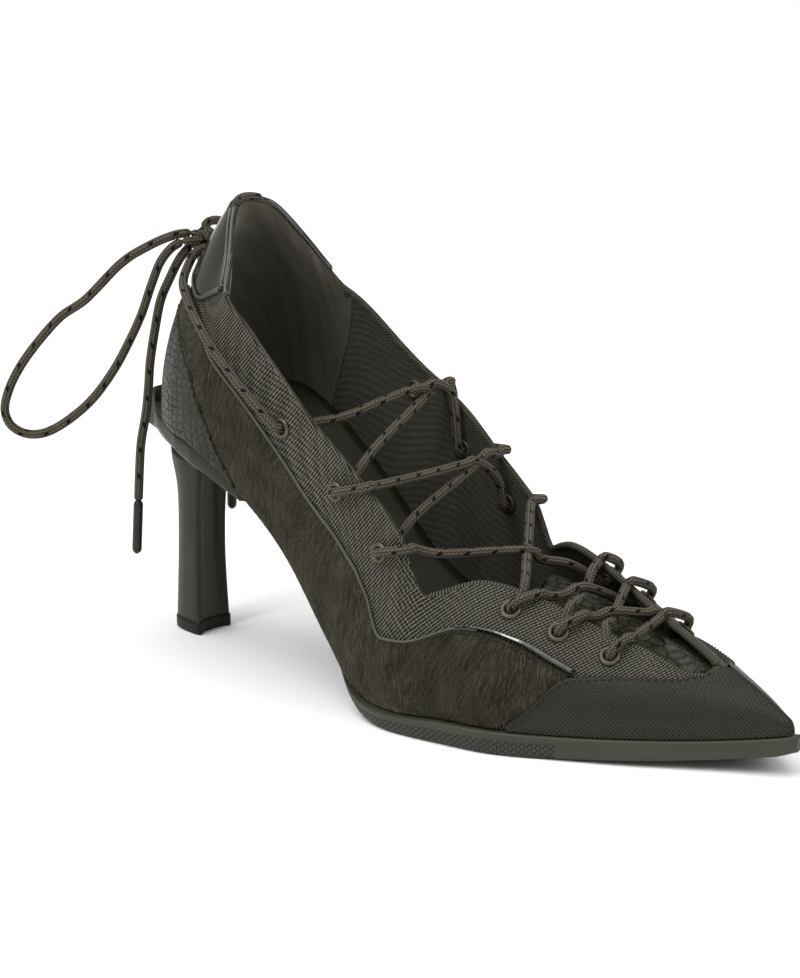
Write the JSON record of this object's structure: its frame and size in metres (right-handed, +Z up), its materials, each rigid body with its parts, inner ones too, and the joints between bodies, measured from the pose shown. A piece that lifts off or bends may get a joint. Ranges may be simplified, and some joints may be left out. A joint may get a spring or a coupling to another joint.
{
  "type": "lace up heel",
  "caption": "Pointed high-heeled pump for the right foot with a cut-out throat, laced across the instep and tied in a bow behind a slim heel.",
  "frame": {"origin": "bottom centre of the shoe's bounding box, on the plane that the heel and the ball stand on", "axes": "+X from the heel to the toe, +Y toward the inner side of the right foot, +Z up"},
  "size_m": [0.2869, 0.0873, 0.1433],
  "materials": {
    "woven_fabric": "open weave of thick khaki threads over a dark ground",
    "hair_leather": "short hair, combed downward",
    "embossed_leather": "embossed with reptile scales, glossy",
    "patent_leather": "patent, mirror gloss",
    "pebbled_leather": "embossed with a fine grid, satin",
    "lining_leather": "smooth satin",
    "sole_rubber": "satin, with a moulded tread on its lower edge",
    "heel_plastic": "satin",
    "lift_rubber": "dark satin",
    "eyelet_brass": "dull bronze lacquer",
    "lace_cord": "round braid, khaki with black flecks",
    "aglet_plastic": "dark olive film wound on the lace's tip"
  },
  "bodies": {
    "root": {"upper": "woven_fabric", "quarter_lateral": "hair_leather", "quarter_medial": "hair_leather", "heel_counter": "embossed_leather", "tongue": "embossed_leather", "heel_tab": "patent_leather", "piping_lateral": "patent_leather", "piping_medial": "patent_leather", "toe_cap": "pebbled_leather", "insole": "lining_leather", "outsole": "sole_rubber", "heel": "heel_plastic", "heel_seat": "heel_plastic", "top_lift": "lift_rubber", "eyelet_lateral_1": "eyelet_brass", "eyelet_lateral_2": "eyelet_brass", "eyelet_lateral_3": "eyelet_brass", "eyelet_lateral_4": "eyelet_brass", "eyelet_lateral_5": "eyelet_brass", "eyelet_lateral_6": "eyelet_brass", "eyelet_medial_1": "eyelet_brass", "eyelet_medial_2": "eyelet_brass", "eyelet_medial_3": "eyelet_brass", "eyelet_medial_4": "eyelet_brass", "eyelet_medial_5": "eyelet_brass", "eyelet_medial_6": "eyelet_brass", "lace_crossing_1": "lace_cord", "lace_crossing_2": "lace_cord", "lace_crossing_3": "lace_cord", "lace_crossing_4": "lace_cord", "lace_crossing_5": "lace_cord", "lace_bar": "lace_cord", "lace_run_lateral": "lace_cord", "lace_run_medial": "lace_cord", "knot": "lace_cord", "loop_lateral": "lace_cord", "loop_medial": "lace_cord", "end_lateral": "lace_cord", "end_medial": "lace_cord", "aglet_lateral": "aglet_plastic", "aglet_medial": "aglet_plastic"}
  },
  "joints": []
}
